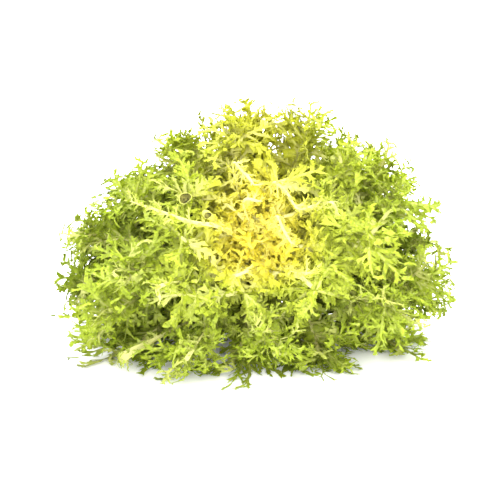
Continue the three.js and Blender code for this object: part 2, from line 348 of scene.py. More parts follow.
@dataclass
class Strips:
    """Many strips that leave their bases along arcs, with a turning flat face.

    A strip's middle line is an arc in the plane of its direction and its bend. Its face turns about the
    line by the twist. All arrays have one row for each strip.
    """

    base: Array
    direction: Array
    normal: Array
    length: Array
    half_width: Array
    thickness: Array
    curl: Array
    swerve: Array
    twist: Array
    pale: Array

    def __len__(self) -> int:
        """How many strips there are."""
        return len(self.length)

    def frames(self, along: Array) -> tuple[Array, Array, Array, Array]:
        """Points of the middle lines with their three directions.

        With c for the curl angle at a share t, a line runs length/curl times (direction sin c + bend
        (1 - cos c)) from its base, heads along direction cos c + bend sin c, and its face keeps the
        angle to the plane of the arc that it starts with, plus the twist times t.

        Args:
            along: Shares of the strips' lengths, a row for each strip.

        Returns:
            Points, headings, sideways directions and face normals, each of shape strips, shares, 3.
        """
        bent = np.where(np.abs(self.curl) < LEAST_CURL, LEAST_CURL, self.curl)[:, None, None]
        side = np.cross(self.normal, self.direction)
        lean = self.swerve[:, None]
        bend = self.normal * np.cos(lean) + side * np.sin(lean)
        across = np.cross(self.direction, bend)[:, None, :]
        bend = bend[:, None, :]
        ahead = self.direction[:, None, :]
        angle = bent * along[..., None]
        arc = ahead * np.sin(angle) + bend * (1 - np.cos(angle))
        point = self.base[:, None, :] + self.length[:, None, None] / bent * arc
        heading = ahead * np.cos(angle) + bend * np.sin(angle)
        inward = bend * np.cos(angle) - ahead * np.sin(angle)
        lean = lean[:, :, None]
        sideways = inward * np.sin(lean) - across * np.cos(lean)
        face = inward * np.cos(lean) + across * np.sin(lean)
        turn = (self.twist[:, None] * along)[..., None]
        return (
            point,
            heading,
            sideways * np.cos(turn) + face * np.sin(turn),
            face * np.cos(turn) - sideways * np.sin(turn),
        )


@dataclass
class Mesh:
    """Points and triangles gathered from many batches, with how pale and how cut each point is."""

    points: list[Array] = field(default_factory=list)
    triangles: list[Indices] = field(default_factory=list)
    pale: list[Array] = field(default_factory=list)
    cut: list[Array] = field(default_factory=list)
    count: int = 0

    def add(self, points: Array, triangles: Indices, pale: Array, cut: Array | float = 0.0) -> None:
        """Adds one batch.

        Args:
            points: The batch's points, one a row.
            triangles: Its triangles, which count from its first point.
            pale: How pale each of its points is.
            cut: How much each of its points belongs to a cut.
        """
        self.points.append(points)
        self.triangles.append(triangles + self.count)
        self.pale.append(pale)
        self.cut.append(np.broadcast_to(cut, len(points)))
        self.count += len(points)

    def joined(self) -> tuple[Array, Indices, Array, Array]:
        """All the batches as one: points, triangles, paleness and cut."""
        batches = (self.points, self.triangles, self.pale, self.cut)
        return tuple(np.concatenate(parts) for parts in batches)


class Section(Enum):
    """Cross sections: sideways and upwards positions, as shares of half width and thickness."""

    KEEL = ((1.0, 0.0), (0.0, 0.35), (-1.0, 0.0), (0.0, -0.65))
    BLADE = ((1.0, 0.25), (-1.0, 0.25), (0.0, -0.75))
    SHEET = (
        (1.0, 0.0), (0.6, 0.5), (0.0, 0.5), (-0.6, 0.5),
        (-1.0, 0.0), (-0.6, -0.5), (0.0, -0.5), (0.6, -0.5),
    )
    RIB = (
        (1.0, 0.1), (0.55, 0.55), (0.0, 0.4), (-0.55, 0.55),
        (-1.0, 0.1), (-0.6, -0.75), (0.0, -1.0), (0.6, -0.75),
    )


def tube_triangles(rings: int, sides: int) -> Indices:
    """Triangles of a tube of rings with a flat cap on its first ring and a point after its last.

    Args:
        rings: How many rings there are.
        sides: Points in a ring, counted round its heading by the left hand.

    Returns:
        Triangles that face outwards, the point being the last of all.
    """
    corner = np.arange(sides)
    following = (corner + 1) % sides
    rows = np.arange(rings - 1)[:, None] * sides
    low, low_next = (rows + corner).ravel(), (rows + following).ravel()
    last = (rings - 1) * sides
    return np.concatenate([
        np.stack([low, low_next, low_next + sides], axis=1),
        np.stack([low, low_next + sides, low + sides], axis=1),
        np.stack([last + corner, last + following, np.full(sides, rings * sides)], axis=1),
        np.stack([np.zeros(sides - 2, int), corner[2:], corner[1:-1]], axis=1),
    ])


def ring_points(line: Array, left: Array, normal: Array, sideways: Array, upwards: Array) -> Array:
    """Points round the stations of a line.

    Args:
        line: The stations, one a row.
        left: Their unit directions to the side.
        normal: Their unit directions upwards.
        sideways: How far to the side each point lies, a row for each station.
        upwards: How far up each point lies, a row for each station.

    Returns:
        The points one a row, station by station.
    """
    ring = line[:, None] + left[:, None] * sideways[..., None] + normal[:, None] * upwards[..., None]
    return ring.reshape(-1, 3)


@dataclass(frozen=True)
class Cover:
    """How strips are covered: by a section at some stations, then a point.

    The width at a share x of the way is the start plus the swell times x, times 1 - x to a power. A strip
    loses the share fade of its paleness by its point, and its middle line is paler by the vein at its base.
    """

    section: Section
    stations: int
    start: float
    swell: float
    fade: float
    vein: float
    power: float = 0.8

    def skin(self, strips: Strips, mesh: Mesh) -> None:
        """Sweeps the section along strips, closes their bases and brings them to points.

        A point lies at the middle line, plus its sideways share times the half width and width profile,
        plus its upward share times the thickness and the profile's root.

        Args:
            strips: The strips to cover.
            mesh: Takes the points and triangles.
        """
        outline = np.array(self.section.value)
        sides = len(outline)
        share = np.arange(self.stations) / self.stations
        widths = (self.start + self.swell * share) * (1 - share) ** self.power
        point, _, sideways, face = strips.frames(np.tile(share, (len(strips), 1)))
        wide = (strips.half_width[:, None] * widths)[..., None, None]
        thick = (strips.thickness[:, None] * np.sqrt(widths))[..., None, None]
        ring = (
            point[:, :, None, :]
            + sideways[:, :, None, :] * wide * outline[:, 0][None, None, :, None]
            + face[:, :, None, :] * thick * outline[:, 1][None, None, :, None]
        )
        tip = strips.frames(np.ones((len(strips), 1)))[0]
        points = np.concatenate([ring.reshape(len(strips), -1, 3), tip], axis=1)
        start = np.arange(len(strips))[:, None] * (self.stations * sides + 1)
        triangles = (start[:, :, None] + tube_triangles(self.stations, sides)[None]).reshape(-1, 3)
        shares = np.append(np.repeat(share, sides), 1.0)
        middle = np.append(np.tile(1 - np.abs(outline[:, 0]), self.stations), 0.0)
        pale = strips.pale[:, None] * (1 - self.fade * shares[None, :]) + self.vein * middle * (1 - shares)
        mesh.add(points.reshape(-1, 3), triangles, pale.ravel())


LOBE_COVER = Cover(Section.KEEL, stations=7, start=0.55, swell=1.2, fade=0.7, vein=0.5)
SHOOT_COVER = Cover(Section.KEEL, stations=7, start=0.55, swell=1.2, fade=0.7, vein=0.4)
BRANCH_COVER = Cover(Section.BLADE, stations=4, start=0.9, swell=0.6, fade=0.6, vein=0.3)
TOOTH_COVER = Cover(Section.BLADE, stations=1, start=1.0, swell=0.0, fade=0.5, vein=0.0)


@dataclass(frozen=True)
class Branching:
    """How one generation of strips leaves another.

    Angles are in radians: the least and greatest pitch from straight out towards the parent's heading,
    and the usual size of the tilt out of its face, the curl and the twist.
    """

    number: int
    first: float
    last: float
    pitch: Pair
    length_share: Pair
    slimming: float
    tilt: float
    curl: float
    twist: float
    jitter: float = 0.9
    length_at: Pair = (1.15, 0.6)
    width_spread: Pair = (0.8, 1.2)
    thinning: float = 0.9
    swerve: float = 1.2
    greening: float = 0.5

    def grow(self, parents: Strips, draw: np.random.Generator, least: float) -> Strips:
        """Grows strips from both sides of their parents, in turn, from near their base to near their point.

        Args:
            parents: The strips that carry the new ones.
            draw: The source of chance.
            least: The shortest strip that is still made.

        Returns:
            The new strips.
        """
        size = (len(parents), self.number)
        order = np.arange(self.number)
        along = mix(self.first, self.last, (order + draw.uniform(0.0, self.jitter, size)) / self.number)
        point, heading, sideways, face = parents.frames(along)
        flip = draw.integers(0, 2, (len(parents), 1))
        sign = np.where((order + flip) % 2, 1.0, -1.0)[..., None]
        pitch = draw.uniform(*self.pitch, size)[..., None]
        tilt = draw.normal(0, self.tilt, size)[..., None]
        out = sideways * sign * np.cos(tilt) + face * np.sin(tilt)
        direction = heading * np.cos(pitch) + out * np.sin(pitch)
        normal = squared_to(face, direction)
        share = draw.uniform(*self.length_share, size)
        length = parents.length[:, None] * share * mix(*self.length_at, along)
        kept = length > least
        curl = draw.normal(0, self.curl, size)
        half_width = parents.half_width[:, None] * self.slimming * draw.uniform(*self.width_spread, size)
        return Strips(
            base=point[kept],
            direction=direction[kept],
            normal=normal[kept],
            length=length[kept],
            half_width=half_width[kept],
            thickness=(parents.thickness[:, None] * np.ones(size) * self.thinning)[kept],
            curl=curl[kept],
            swerve=draw.uniform(-self.swerve, self.swerve, size)[kept],
            twist=draw.normal(0, self.twist, size)[kept],
            pale=(parents.pale[:, None] * (1 - self.greening * along))[kept],
        )


# ---------------------------------------------------------------------------------------------------------
# Bare ribs
# ---------------------------------------------------------------------------------------------------------


class StalkEnd(Enum):
    """How a bare rib ends."""

    ROUNDED = "rounded"
    CUT = "cut"


@dataclass(frozen=True)
class ShootRow:
    """The small lobes along both sides of a bare rib, in millimetres and radians."""

    spacing: float = 1.9
    jitter: float = 1.2
    fewest: int = 4
    pitch: Pair = (0.2, 1.2)
    tilt: float = 0.6
    length: Pair = (3.0, 14.0)
    half_width: Pair = (0.6, 1.1)
    thickness: float = 0.4
    curl: float = 1.6
    swerve: float = 1.2
    twist: float = 0.8
    pale: Pair = (0.1, 0.6)
    shortest_tooth: float = 1.2

    def strips(
        self, line: Array, forward: Array, normal: Array, first: int, draw: np.random.Generator
    ) -> Strips:
        """The shoots' middle strips, on either side in turn.

        Args:
            line: The rib's stations.
            forward: Their unit headings.
            normal: Their unit directions upwards.
            first: The station that the first shoot leaves.
            draw: The source of chance.

        Returns:
            One strip for each shoot.
        """
        lengths = np.append(0, np.cumsum(np.linalg.norm(np.diff(line, axis=0), axis=1)))
        number = max(int((lengths[-1] - lengths[first]) / (self.spacing * MM)), self.fewest)
        spots = np.linspace(lengths[first], lengths[-1], number) + draw.normal(0, self.jitter * MM, number)
        side = np.cross(normal, forward)
        base, ahead, left, up = (at_lengths(spots, lengths, part) for part in (line, forward, side, normal))
        sign = np.where(np.arange(number) % 2, 1.0, -1.0)[:, None]
        pitch = draw.uniform(*self.pitch, number)[:, None]
        tilt = draw.normal(0.0, self.tilt, number)[:, None]
        out = left * sign * np.cos(tilt) + up * np.sin(tilt)
        direction = unit(out * np.cos(pitch) + ahead * np.sin(pitch))
        return Strips(
            base=base,
            direction=direction,
            normal=squared_to(up, direction),
            length=draw.uniform(*self.length, number) * MM,
            half_width=draw.uniform(*self.half_width, number) * MM,
            thickness=np.full(number, self.thickness * MM),
            curl=draw.normal(0, self.curl, number),
            swerve=draw.uniform(-self.swerve, self.swerve, number),
            twist=draw.normal(0, self.twist, number),
            pale=draw.uniform(*self.pale, number),
        )


@dataclass(frozen=True)
class Stalk:
    """One thick, pale rib that comes out between the leaves and lies over them.

    Its way runs from its own leaf's rib through places given in millimetres, on a Catmull-Rom curve: on
    each stretch a cubic whose slope at either end is half the step between the neighbouring places. Its
    half widths, at its start and end, are in millimetres too. A cut one ends in a dried, sunk face.
    """

    leaf: str
    way: tuple[Place, ...]
    half_width: Pair
    end: StalkEnd = StalkEnd.ROUNDED
    steps: int = 7
    sunk: float = 0.97
    narrowest: float = 0.3
    flatness: float = 0.8
    pale: float = 0.7
    end_rounding: float = 6.0
    end_least: float = 0.1
    tip_length: float = 0.5
    cut_sides: int = 20
    cut_pale: float = 0.4
    cut_inset: Pair = (0.88, 0.78)
    cut_marks: Pair = (0.9, 1.0)
    cut_depth: float = 0.5
    dents: tuple[tuple[int, float, float], ...] = ((2, 0.13, 0.8), (3, 0.08, 2.0))
    shoots: ShootRow = ShootRow()
    seed: int = 7

    def curve(self, root: Array) -> Array:
        """The middle line from its root on.

        Args:
            root: Where it starts, as one row.

        Returns:
            Points in metres, one row for each station.
        """
        knots = np.vstack([root, np.array(self.way) * MM])
        knots = np.vstack([2 * knots[0] - knots[1], knots, 2 * knots[-1] - knots[-2]])
        spot = np.arange((len(knots) - 3) * self.steps + 1) / self.steps
        first = np.minimum(spot.astype(int), len(knots) - 4)
        share = (spot - first)[:, None]
        before, start, end, after = (knots[first + i] for i in range(4))
        bend = 2 * before - 5 * start + 4 * end - after
        twist = -before + 3 * start - 3 * end + after
        return start + ((end - before) * share + bend * share**2 + twist * share**3) / 2

    def add(self, root: Array, crown: Array, branches: Branching, mesh: Mesh) -> None:
        """Adds the rib: with its shoots and a rounded end, or cut off flat.

        Args:
            root: Where it leaves its leaf's rib.
            crown: The head's crown, from which its upper face looks away.
            branches: How its shoots branch.
            mesh: Takes the points and triangles.
        """
        line = crown + (self.curve(root) - crown) * self.sunk
        forward = unit(np.gradient(line, axis=0))
        normal = squared_to(line - crown, forward)
        along = np.linspace(0, 1, len(line))
        grown = np.clip(along * len(self.way), 0, 1) ** 2
        wide = mix(*self.half_width, along) * mix(self.narrowest, 1.0, grown) * MM
        if self.end is StalkEnd.CUT:
            self.add_cut(line, forward, normal, wide, mesh)
            return
        wide = wide * np.sqrt(np.clip((1 - along) * self.end_rounding, self.end_least, 1))
        self.add_rounded(line, forward, normal, wide, mesh)
        draw = np.random.default_rng(int(abs(self.way[0][0])) + self.seed)
        shoots = self.shoots.strips(line, forward, normal, self.steps // 2, draw)
        SHOOT_COVER.skin(shoots, mesh)
        TOOTH_COVER.skin(branches.grow(shoots, draw, self.shoots.shortest_tooth * MM), mesh)

    def add_rounded(self, line: Array, forward: Array, normal: Array, wide: Array, mesh: Mesh) -> None:
        """Sweeps the channelled section of a rib along the line, and ends it in a short point.

        Args:
            line: The stations, one a row.
            forward: Their unit headings.
            normal: Their unit directions upwards.
            wide: Their half widths.
            mesh: Takes the points and triangles.
        """
        across, above = np.array(Section.RIB.value).T
        left = np.cross(normal, forward)
        sideways, upwards = wide[:, None] * across, wide[:, None] * above * self.flatness
        ring = ring_points(line, left, normal, sideways, upwards)
        points = np.vstack([ring, line[-1] + forward[-1] * wide[-1] * self.tip_length])
        mesh.add(points, tube_triangles(len(line), len(across)), np.full(len(points), self.pale))

    def add_cut(self, line: Array, forward: Array, normal: Array, wide: Array, mesh: Mesh) -> None:
        """Sweeps a dented round along the line, and sinks its flat end inside a thin rim.

        The round's radius is 1 plus, for each dent, its size times the cosine of its number times the
        turn plus its phase.

        Args:
            line: The stations, one a row.
            forward: Their unit headings.
            normal: Their unit directions upwards.
            wide: Their radii.
            mesh: Takes the points and triangles.
        """
        line = np.vstack([line, line[-1], line[-1] - forward[-1] * wide[-1] * self.cut_depth])
        forward = np.vstack([forward, forward[-1], forward[-1]])
        normal = np.vstack([normal, normal[-1], normal[-1]])
        marks = np.append(np.zeros(len(wide)), self.cut_marks)
        wide = np.append(wide, wide[-1] * np.array(self.cut_inset))
        turn = np.arange(self.cut_sides) / self.cut_sides * FULL_TURN
        radius = 1 + sum(size * np.cos(number * turn + phase) for number, size, phase in self.dents)
        left = np.cross(normal, forward)
        sideways, upwards = wide[:, None] * np.cos(turn) * radius, wide[:, None] * np.sin(turn) * radius
        ring = ring_points(line, left, normal, sideways, upwards)
        points = np.vstack([ring, line[-1]])
        pale = np.full(len(points), self.cut_pale)
        cut = np.append(np.repeat(marks, self.cut_sides), 1.0)
        mesh.add(points, tube_triangles(len(line), self.cut_sides), pale, cut)


# ---------------------------------------------------------------------------------------------------------
# Leaves
# ---------------------------------------------------------------------------------------------------------


@dataclass(frozen=True)
class Rib:
    """A leaf's rib: a channelled line that sways and turns on its way out, scaled by the leaf's room."""

    half_width: Pair = (3 * MM, 0.8 * MM)
    half_thickness: Pair = (1.5 * MM, 0.4 * MM)
    room_share: Pair = (0.7, 0.42)
    end: float = 0.9
    steps: int = 40
    sway: float = 0.34
    sway_speed: Pair = (4.0, 3.0)
    sway_prime: int = 3
    twist: float = 0.5
    twist_prime: int = 5
    greening: float = 0.55
    greening_power: float = 1.5
    tip_pale: float = 0.4

    def frames(self, seat: LeafSeat, share: Array) -> tuple[Array, Array, Array]:
        """The rib's middle line before bending, with its left and upward directions.

        The line runs straight out from the crown and sways to its side by a sine and to its face by a
        cosine, both growing with the share. Its left side turns about it as the share grows.

        Args:
            seat: The leaf's seat.
            share: Shares of the rib's length.

        Returns:
            Points, left directions and normals, one row for each share.
        """
        side = unit(np.cross([0.0, 0.0, 1.0], seat.direction))
        face = np.cross(seat.direction, side)
        sway = self.sway * seat.room * share[:, None]
        phase = FULL_TURN * even_draw(seat.index, self.sway_prime)
        line = (
            seat.direction
            + side * sway * np.sin(phase + self.sway_speed[0] * share)[:, None]
            + face * sway * np.cos(phase + self.sway_speed[1] * share)[:, None]
        )
        distance = mix(seat.root, seat.length * self.end, share)
        turn = (even_draw(seat.index, self.twist_prime) - 0.5) * 2 * self.twist * share[:, None]
        left = side * np.cos(turn) + face * np.sin(turn)
        normal = face * np.cos(turn) - side * np.sin(turn)
        return unit(line) * distance[:, None], left, normal

    def tip(self, seat: LeafSeat) -> Array:
        """The point of the rib, as one row."""
        return self.frames(seat, np.array([1.0]))[0]

    def add(self, seat: LeafSeat, mesh: Mesh) -> None:
        """Covers the rib with a channelled section that tapers to a point.

        Args:
            seat: The leaf's seat.
            mesh: Takes the points and triangles.
        """
        share = np.arange(self.steps) / self.steps
        line, left, normal = self.frames(seat, share)
        room = seat.room * np.linalg.norm(line, axis=1)
        half_width = np.minimum(mix(*self.half_width, share), self.room_share[0] * room)
        half_thickness = np.minimum(mix(*self.half_thickness, np.sqrt(share)), self.room_share[1] * room)
        across, above = np.array(Section.RIB.value).T
        sideways, upwards = half_width[:, None] * across, half_thickness[:, None] * above
        ring = ring_points(line, left, normal, sideways, upwards)
        pale = np.repeat(1 - self.greening * share**self.greening_power, len(across))
        triangles = tube_triangles(self.steps, len(across))
        mesh.add(np.vstack([ring, self.tip(seat)]), triangles, np.append(pale, self.tip_pale))


@dataclass(frozen=True)
class Blade:
    """The narrow blade on both sides of a rib, ruffled and scalloped along its edges.

    Ruffles are that long, and their height is a share of the half width. There are some scallops to a
    ruffle, and their depth is a share of the half width too. Each wave runs ahead on one side by its
    offset and behind on the other, in radians.
    """

    half_width: float
    thickness: float = 0.5 * MM
    span: Pair = (0.1, 0.99)
    stations: int = 48
    room_share: float = 1.3
    swell: float = 0.84
    swell_start: float = 0.05
    ruffle_length: float = 16 * MM
    ruffle_height: float = 0.55
    ruffle_offset: float = 1.7
    ruffle_prime: int = 13
    scallops: float = 2.6
    scallop_depth: float = 0.45
    scallop_offset: float = 2.0
    pale: float = 0.5
    tip_pale: float = 0.1

    def add(self, rib: Rib, seat: LeafSeat, mesh: Mesh) -> None:
        """Covers the rib with the blade.

        Across the leaf, a point lies at its share of the half width, which swells as the root of a sine
        along the leaf and is cut into by a faster sine. It is lifted by the square of that share times a
        wave along the leaf, which runs differently on the two sides.

        Args:
            rib: The leaf's rib.
            seat: The leaf's seat.
            mesh: Takes the points and triangles.
        """
        share = mix(*self.span, np.arange(self.stations) / self.stations)
        line, left, normal = rib.frames(seat, share)
        along = (share - self.span[0]) / (1 - self.span[0])
        room = seat.room * np.linalg.norm(line, axis=1)
        phase = FULL_TURN * even_draw(seat.index, self.ruffle_prime)
        waves = (seat.length - seat.root) / self.ruffle_length * FULL_TURN * share[:, None]
        across, above = np.array(Section.SHEET.value).T
        side = np.sign(across)
        scallop = 0.5 + 0.5 * np.sin(self.scallops * waves + phase + self.scallop_offset * side)
        swell = np.sqrt(np.sin(math.pi * np.clip(along * self.swell + self.swell_start, 0, 1)))
        half_width = (np.minimum(self.half_width, self.room_share * room) * swell)[:, None]
        ruffle = across**2 * np.sin(waves + phase + self.ruffle_offset * side) * half_width
        sideways = half_width * across * (1 - self.scallop_depth * scallop)
        upwards = ruffle * self.ruffle_height + above * self.thickness
        ring = ring_points(line, left, normal, sideways, upwards)
        pale = self.pale * (1 - np.abs(across)) * (1 - share[:, None])
        triangles = tube_triangles(self.stations, len(across))
        mesh.add(np.vstack([ring, rib.tip(seat)]), triangles, np.append(pale.ravel(), self.tip_pale))


@dataclass(frozen=True)
class LobeRow:
    """The lobes along both sides of a rib, in pairs that crowd towards its point.

    Angles are in radians. A lobe leaves at a pitch that grows along the rib, in a plane that the fan
    turns to one of three sides in order, and its face is rolled out of that plane. Each spread is the
    usual size of a chance part.
    """

    spacing: float
    half_width: float
    reach: float
    curl: float
    first: float
    last: float = 0.98
    fewest: int = 3
    crowding: float = 1.25
    jitter: float = 0.35
    fan: float = math.radians(42)
    fan_spread: float = 0.3
    pitch: Pair = (math.radians(20), math.radians(52))
    pitch_spread: float = 0.28
    roll: float = math.radians(25)
    roll_spread: float = 0.5
    longest: float = 42 * MM
    leaf_share: float = 0.38
    length_spread: Pair = (0.65, 1.1)
    length_at: Pair = (1.0, 0.8)
    growing_over: float = 0.25
    grown_at_first: float = 0.35
    width_spread: Pair = (0.7, 1.3)
    width_at: Pair = (1.7, 1.3)
    thickness: float = 0.5 * MM
    swerve: float = 0.7
    twist: float = 0.9
    pale_at: Pair = (0.6, 0.1)
    pale_spread: Pair = (0.3, 1.2)
    blanched: float = 0.6
    blanched_share: float = 0.16

    def strips(self, rib: Rib, seat: LeafSeat, draw: np.random.Generator) -> Strips:
        """The lobes' middle strips.

        Args:
            rib: The leaf's rib, which the lobes leave.
            seat: The leaf's seat.
            draw: The source of chance.

        Returns:
            One strip for each lobe.
        """
        rib_length = seat.length * rib.end - seat.root
        pairs = max(round((self.last - self.first) * rib_length / self.spacing), self.fewest)
        crowded = 1 - (1 - np.arange(pairs) / (pairs - 1)) ** self.crowding
        share = np.repeat(mix(self.first, self.last, crowded), 2)
        count = len(share)
        share = np.clip(share + draw.normal(0, self.jitter / pairs, count), self.first, 1.0)
        sign = np.tile([1.0, -1.0], pairs)
        line, left, normal = rib.frames(seat, share)
        plane = np.repeat(np.arange(pairs), 2) % 3 - 1
        fan = plane * sign * self.fan + draw.normal(0, self.fan_spread, count)
        pitch = (mix(*self.pitch, share) + draw.normal(0, self.pitch_spread, count))[:, None]
        forward = unit(line)
        out = squared_to(left * (sign * np.cos(fan))[:, None] + normal * np.sin(fan)[:, None], forward)
        direction = out * np.cos(pitch) + forward * np.sin(pitch)
        across = forward * np.cos(pitch) - out * np.sin(pitch)
        roll = draw.normal(self.roll, self.roll_spread, count)[:, None]
        reach = np.minimum(seat.room * np.linalg.norm(line, axis=1) * self.reach, self.longest)
        reach = np.minimum(reach, self.leaf_share * seat.length)
        grown = smooth((share - self.first) / self.growing_over + self.grown_at_first)
        length = reach * draw.uniform(*self.length_spread, count) * grown
        half_width = self.half_width * draw.uniform(*self.width_spread, count)
        return Strips(
            base=line,
            direction=direction,
            normal=np.cross(direction, across) * np.cos(roll) + across * np.sin(roll),
            length=length * mix(*self.length_at, share),
            half_width=half_width * mix(*self.width_at, smooth(share)),
            thickness=np.full(count, self.thickness),
            curl=draw.normal(0, self.curl, count),
            swerve=draw.uniform(-self.swerve, self.swerve, count),
            twist=draw.normal(0, self.twist, count),
            pale=mix(*self.pale_at, share) * draw.uniform(*self.pale_spread, count)
            + self.blanched * (draw.random(count) < self.blanched_share),
        )


@dataclass(frozen=True)
class BlanchingAndTopLight:
    """Where the head is young and yellow: round the line out of its heart, reaching further up than down,
    and fainter above it. This is partly the young leaves' own colour and partly painted light: the longer
    reach upwards and the upper band lighten the top of the head, as light from above does, and lift the
    leaves there that lie in shade.

    Lengths are breadths in metres: beside the line, which lies a little to the left, above it and below.
    """

    shape: HeadShape
    left: float = 5 * MM
    beside: float = 54 * MM
    # Reaching further up than down is partly painted light on the top of the head.
    above: float = 92 * MM
    below: float = 38 * MM
    ahead: float = 60 * MM
    # The upper band: partly the young leaves' paler colour, partly painted light on the top of the head.
    upper: float = 0.58
    upper_youth_and_light_breadth: float = 90 * MM
    upper_youth_and_light_rise: float = 60 * MM
    upper_youth_and_light_behind: float = 40 * MM

    def at(self, points: Array) -> Array:
        """How young and yellow points are.

        The heart's part is the exponential of minus the squared distance beside its line, counted in a
        breadth of its own for each way, and fades to nothing behind the crown. The upper part, partly young
        colour and partly painted light that lightens the top of the head, is an exponential to the sides
        only, which rises above the line. The greater of the two holds.

        Args:
            points: Places in the world, one a row.

        Returns:
            A number from 0 to 1 for each place.
        """
        right, up, ahead = ((points - self.shape.crown) @ self.shape.basis).T
        tall = np.where(up > 0, self.above, self.below)
        heart = np.exp(-(((right + self.left) / self.beside) ** 2) - (up / tall) ** 2)
        # The upper band: partly young colour, partly painted light that lightens the top of the head.
        upper = self.upper * np.exp(-((right / self.upper_youth_and_light_breadth) ** 2)) * smooth(up / self.upper_youth_and_light_rise)
        return np.maximum(
            heart * smooth(ahead / self.ahead),
            upper * smooth((ahead + self.upper_youth_and_light_behind) / self.ahead),
        )


@dataclass(frozen=True)
class LeafBuilder:
    """Builds the leaves of one whorl: a pale rib, a ruffled blade and frizzy, antler-like lobes."""

    blanching_and_top_light: BlanchingAndTopLight
    whorl: Whorl
    blade: Blade
    lobes: LobeRow
    branches: Branching
    teeth: Branching
    stalks: tuple[Stalk, ...]
    rib: Rib = Rib()
    stalk_root: float = 0.5
    shortest_strip: float = 1.6 * MM
    overshoot: float = 0.05
    table_ease: float = 3 * MM
    flare: Pair = (0.1, 0.03)
    flare_height: float = 16 * MM
    seed: int = 1000

    def bend_into_head(self, seat: LeafSeat, points: Array) -> Array:
        """Bends straight points into the head, keeps them above the table and spreads the lowest.

        Beyond the leaf's own share, the rest is eased off by a hyperbolic tangent. A height under the
        ease becomes the ease times the exponential of their ratio less 1. A low point is moved level
        from the crown by the flare times an exponential that falls with its height.

        Args:
            seat: The leaf's seat.
            points: Points of the straight leaf, from the crown.

        Returns:
            Points in the world.
        """
        shape = self.blanching_and_top_light.shape
        distance = np.linalg.norm(points, axis=1)
        shares = shape.share_at(distance, seat.outline)
        over = np.maximum(shares - 1, 0)
        shares = np.minimum(shares, 1) + self.overshoot * np.tanh(over / self.overshoot)
        placed = shape.place(points / distance[:, None], shares)
        height = placed[:, 2] / self.table_ease
        placed[:, 2] = self.table_ease * np.where(height < 1, np.exp(np.minimum(height, 1) - 1), height)
        level = placed[:, :2] - shape.crown[:2]
        placed[:, :2] += level * np.array(self.flare) * np.exp(-placed[:, 2:] / self.flare_height)
        return placed

    def grow(self, seat: LeafSeat) -> Mesh:
        """Grows the straight leaf: rib, blade, lobes, their branches and the branches' teeth.

        Args:
            seat: The leaf's seat.

        Returns:
            The leaf's mesh, with the crown as its origin.
        """
        draw = np.random.default_rng(self.seed + seat.index)
        mesh = Mesh()
        self.rib.add(seat, mesh)
        self.blade.add(self.rib, seat, mesh)
        lobes = self.lobes.strips(self.rib, seat, draw)
        LOBE_COVER.skin(lobes, mesh)
        branches = self.branches.grow(lobes, draw, self.shortest_strip)
        BRANCH_COVER.skin(branches, mesh)
        TOOTH_COVER.skin(self.teeth.grow(branches, draw, self.shortest_strip), mesh)
        return mesh

    def build(self, seat: LeafSeat, material: bpy.types.Material) -> bpy.types.Object:
        """Builds one leaf's object.

        Args:
            seat: The leaf's seat.
            material: The whorl's finish.

        Returns:
            The leaf, riding on the head and standing for its CAD node.
        """
        straight, triangles, pale, _ = self.grow(seat).joined()
        mesh = Mesh()
        mesh.add(self.bend_into_head(seat, straight), triangles, pale)
        root = self.bend_into_head(seat, self.rib.frames(seat, np.array([self.stalk_root]))[0])
        for stalk in self.stalks:
            if stalk.leaf == seat.name:
                stalk.add(root, self.blanching_and_top_light.shape.crown, self.branches, mesh)
        points, triangles, pale, cut = mesh.joined()
        leaf = make_object(seat.name, points, triangles, material)
        write_attribute(leaf, "pale", pale)
        write_attribute(leaf, "cut", cut)
        # How young and yellow each point is, with the painted light over the top of the head.
        write_attribute(leaf, "yellow", self.blanching_and_top_light.at(points))
        dress(leaf, seat.name)
        return leaf


# ---------------------------------------------------------------------------------------------------------
# The stem
# ---------------------------------------------------------------------------------------------------------


